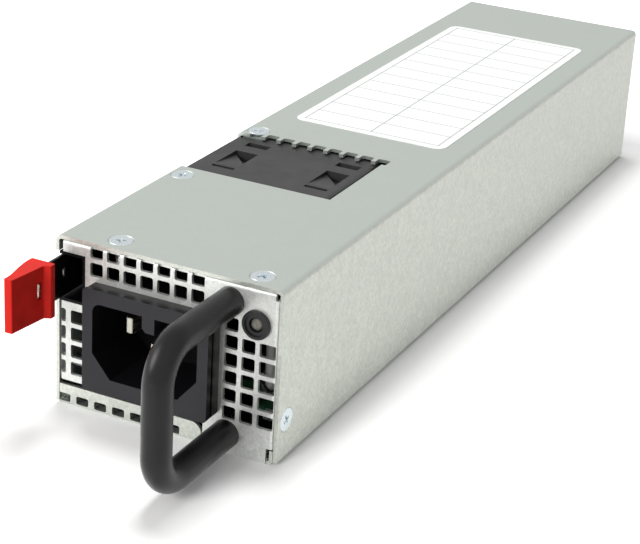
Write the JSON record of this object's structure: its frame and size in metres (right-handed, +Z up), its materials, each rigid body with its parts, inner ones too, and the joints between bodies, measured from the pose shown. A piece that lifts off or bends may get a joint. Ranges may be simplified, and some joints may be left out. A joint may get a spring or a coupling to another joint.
{
  "type": "hot swap server power supply",
  "caption": "Slim rectangular server power supply that slides into a rack bay, with a mains inlet, pull handle, sprung release latch, cooling fan and rear card edge.",
  "frame": {"origin": "middle of the casing's underside", "axes": "+X to the handle's side seen from the handle end, +Y from the handle end to the plug-in end, +Z up"},
  "size_m": [0.0556, 0.2692, 0.0401],
  "materials": {
    "galvanised_steel": "galvanised sheet with a fine spangle",
    "zinc_screws": "bright zinc",
    "black_steel": "satin black coating",
    "spring_steel": "plain steel",
    "black_plastic": "moulded, fine grain",
    "dark_plastic": "moulded, fine grain",
    "red_plastic": "moulded, fine grain",
    "nickel_pins": "nickel plated",
    "clear_lens": "diffused clear resin",
    "green_board": "solder mask over glass laminate",
    "gold_contacts": "gold plated",
    "black_film": "polyester film",
    "aluminium_sink": "extruded",
    "sleeve_plastic": "shrink sleeve",
    "case_plastic": "moulded box",
    "grey_plastic": "moulded box",
    "ferrite": "sintered",
    "copper_winding": "enamelled wire",
    "wire_sleeve": "insulated wire",
    "earth_sleeve": "insulated wire",
    "fuse_sleeve": "black shrink sleeve",
    "dark_winding": "dark enamelled wire",
    "lamp_sleeve": "grey sleeve",
    "blue_disc": "dipped coating",
    "label_film": "bare white film"
  },
  "bodies": {
    "casing": {"top_cover": "galvanised_steel", "bottom_pan": "galvanised_steel", "front_panel": "galvanised_steel", "rear_panel": "galvanised_steel", "top_screws": "zinc_screws", "right_screw": "zinc_screws", "left_screw": "zinc_screws", "handle": "black_steel", "handle_screws": "zinc_screws", "inlet_housing": "black_plastic", "inlet_line_pin": "nickel_pins", "inlet_neutral_pin": "nickel_pins", "inlet_earth_pin": "nickel_pins", "led_bezel": "dark_plastic", "led_lamp": "clear_lens", "lamp_leads": "lamp_sleeve", "latch_housing": "black_plastic", "latch_pin": "spring_steel", "latch_spring": "spring_steel", "fan_frame": "dark_plastic", "fan_bearings": "spring_steel", "fan_stator": "copper_winding", "fan_leads": "wire_sleeve", "main_board": "green_board", "board_standoffs": "zinc_screws", "board_screws": "zinc_screws", "insulator_sheet": "black_film", "board_contacts": "gold_contacts", "filter_capacitor": "case_plastic", "inrush_relay": "grey_plastic", "bridge_rectifier": "grey_plastic", "control_card": "green_board", "mains_wires": "wire_sleeve", "earth_wire": "earth_sleeve", "fuse": "fuse_sleeve", "fuse_clips": "spring_steel", "varistor": "blue_disc", "input_choke_core": "ferrite", "input_choke_windings": "dark_winding", "boost_inductor": "copper_winding", "bulk_capacitor": "sleeve_plastic", "primary_heat_sink": "aluminium_sink", "primary_transistors": "grey_plastic", "secondary_heat_sink": "aluminium_sink", "output_rectifiers": "grey_plastic", "main_transformer_core": "ferrite", "main_transformer_winding": "copper_winding", "standby_transformer_core": "ferrite", "standby_transformer_winding": "copper_winding", "output_inductor": "copper_winding", "output_capacitors": "sleeve_plastic", "control_chips": "grey_plastic", "rating_label": "label_film"},
    "latch": {"latch_arm": "black_steel", "release_tab": "red_plastic"},
    "fan": {"fan_rotor": "dark_plastic", "fan_shaft": "spring_steel"}
  },
  "joints": [
    {"name": "latch_pivot", "type": "hinge", "parent": "casing", "child": "latch", "pos_m": [-0.0244, -0.0803, 0.03075], "axis": [0, 0, 1], "range_deg": [0, 4], "stiffness_Nm_per_rad": 2, "springref_deg": -2.01},
    {"name": "fan_spin", "type": "hinge", "parent": "casing", "child": "fan", "pos_m": [-0.0072, -0.0488, 0.0198], "axis": [0, 1, 0], "continuous": true}
  ]
}
